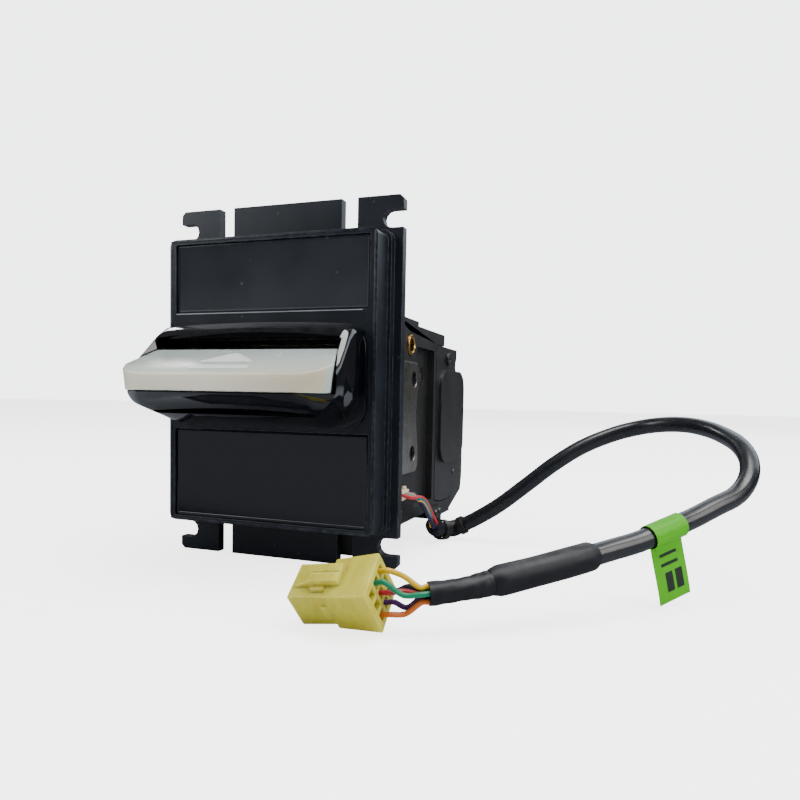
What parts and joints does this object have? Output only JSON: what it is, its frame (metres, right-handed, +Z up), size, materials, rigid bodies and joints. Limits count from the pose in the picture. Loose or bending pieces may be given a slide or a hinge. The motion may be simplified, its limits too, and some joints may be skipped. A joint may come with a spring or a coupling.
{
  "type": "bill validator",
  "caption": "Panel-mounted bill validator: front plate with note mouth, lift-up note lid, driven rollers, hinged rear cover and a captive harness with a connector.",
  "frame": {"origin": "floor level under the middle of the unit, half-way between the front of its lens and the back of its rear cover", "axes": "+Z up, -Y out of the front, +X to the right of someone facing the front; harness leaves on +X"},
  "size_m": [0.233, 0.1962, 0.1472],
  "materials": {
    "satin_black": "satin, fine grain",
    "gloss_black": "polished",
    "body_black": "fine texture",
    "milky_lens": "frosted translucent",
    "green_board": "solder mask",
    "black_chip": "moulded",
    "red_switch": "moulded",
    "nickel": "nickel plated",
    "steel": "ground",
    "brass": "turned",
    "rubber": "ground rubber",
    "acetal": "moulded",
    "cream": "moulded",
    "cable_black": "extruded, half gloss",
    "shrink_black": "shrunk sleeve",
    "wires": "extruded, one colour each on the real wires",
    "label_green": "printed film, left blank",
    "nylon": "natural nylon"
  },
  "bodies": {
    "frame": {"board_processor": "black_chip", "bracket_left": "nickel", "bracket_right": "nickel", "cable_clip": "body_black", "cable_jacket": "cable_black", "cable_tie": "satin_black", "chassis": "body_black", "connector_housing": "nylon", "connector_wires": "wires", "cover_pin_left": "body_black", "cover_pin_right": "body_black", "dip_switch": "red_switch", "encoder_sensor": "black_chip", "end_sleeve": "shrink_black", "entry_led_board": "green_board", "entry_lens": "milky_lens", "exit_sleeve": "shrink_black", "exit_wires": "wires", "flag_label": "label_green", "gear_stud": "steel", "heat_shrink": "shrink_black", "insert_left": "brass", "insert_right": "brass", "lid_pin": "steel", "lower_panel": "gloss_black", "lower_sensor_board": "green_board", "magnetic_head": "steel", "main_board": "green_board", "motor": "steel", "mounting_plate": "satin_black", "mouth_hood": "gloss_black", "note_bed": "body_black", "shaft_bush_front_left": "acetal", "shaft_bush_front_right": "acetal", "shaft_bush_rear_left": "acetal", "shaft_bush_rear_right": "acetal", "upper_panel": "satin_black", "wire_header": "cream"},
    "lid": {"note_lid": "body_black", "lid_cap": "body_black", "upper_sensor_board": "green_board", "latch_spring": "steel"},
    "latch_button": {"lid_latch_button": "satin_black"},
    "front_pinch": {"pinch_rollers_front": "acetal"},
    "rear_pinch": {"pinch_rollers_rear": "acetal"},
    "rear_cover": {"rear_cover": "body_black"},
    "rotor": {"motor_pinion": "brass", "motor_shaft": "steel", "encoder_wheel": "black_chip"},
    "reduction": {"reduction_gear": "acetal"},
    "front_drive": {"drive_shaft_front": "steel", "drive_gear_front": "acetal", "drive_roller_front_right": "rubber", "drive_roller_front_left": "rubber"},
    "rear_drive": {"drive_shaft_rear": "steel", "drive_gear_rear": "acetal", "drive_roller_rear_right": "rubber", "drive_roller_rear_left": "rubber"},
    "flap": {"pullback_flap": "body_black"}
  },
  "joints": [
    {"name": "reduction_spin", "type": "hinge", "parent": "frame", "child": "reduction", "pos_m": [0, 0.0025, 0.06452], "axis": [1, 0, 0], "continuous": true},
    {"name": "motor_spin", "type": "hinge", "parent": "frame", "child": "rotor", "pos_m": [0, 0.0025, 0.04372], "axis": [1, 0, 0], "continuous": true},
    {"name": "front_shaft_spin", "type": "hinge", "parent": "frame", "child": "front_drive", "pos_m": [0, -0.012, 0.0783], "axis": [1, 0, 0], "continuous": true},
    {"name": "rear_shaft_spin", "type": "hinge", "parent": "frame", "child": "rear_drive", "pos_m": [0, 0.017, 0.0783], "axis": [1, 0, 0], "continuous": true},
    {"name": "lid_hinge", "type": "hinge", "parent": "frame", "child": "lid", "pos_m": [0, -0.0195, 0.0958], "axis": [1, 0, 0], "range_deg": [0, 40]},
    {"name": "front_pinch_spin", "type": "hinge", "parent": "lid", "child": "front_pinch", "pos_m": [0, -0.012, 0.0919], "axis": [1, 0, 0], "continuous": true},
    {"name": "rear_pinch_spin", "type": "hinge", "parent": "lid", "child": "rear_pinch", "pos_m": [0, 0.017, 0.0919], "axis": [1, 0, 0], "continuous": true},
    {"name": "latch_press", "type": "slide", "parent": "lid", "child": "latch_button", "axis": [0, 0, -1], "range_m": [0, 0.0025], "stiffness_N_per_m": 300, "springref_m": -0.001, "deforming": ["latch_spring"]},
    {"name": "rear_cover_hinge", "type": "hinge", "parent": "frame", "child": "rear_cover", "pos_m": [0, 0.0495, 0.0885], "axis": [1, 0, 0], "range_deg": [0, 70]},
    {"name": "flap_hinge", "type": "hinge", "parent": "frame", "child": "flap", "pos_m": [0, 0.054, 0.09], "axis": [1, 0, 0], "range_deg": [0, 40], "stiffness_Nm_per_rad": 0.002, "springref_deg": -11.46}
  ],
  "couplings": [
    {"joint": "motor_spin", "follows": "reduction_spin", "ratio": -3.3333},
    {"joint": "front_shaft_spin", "follows": "reduction_spin", "ratio": -4},
    {"joint": "rear_shaft_spin", "follows": "reduction_spin", "ratio": -4},
    {"joint": "front_pinch_spin", "follows": "reduction_spin", "ratio": 6.0377},
    {"joint": "rear_pinch_spin", "follows": "reduction_spin", "ratio": 6.0377}
  ]
}
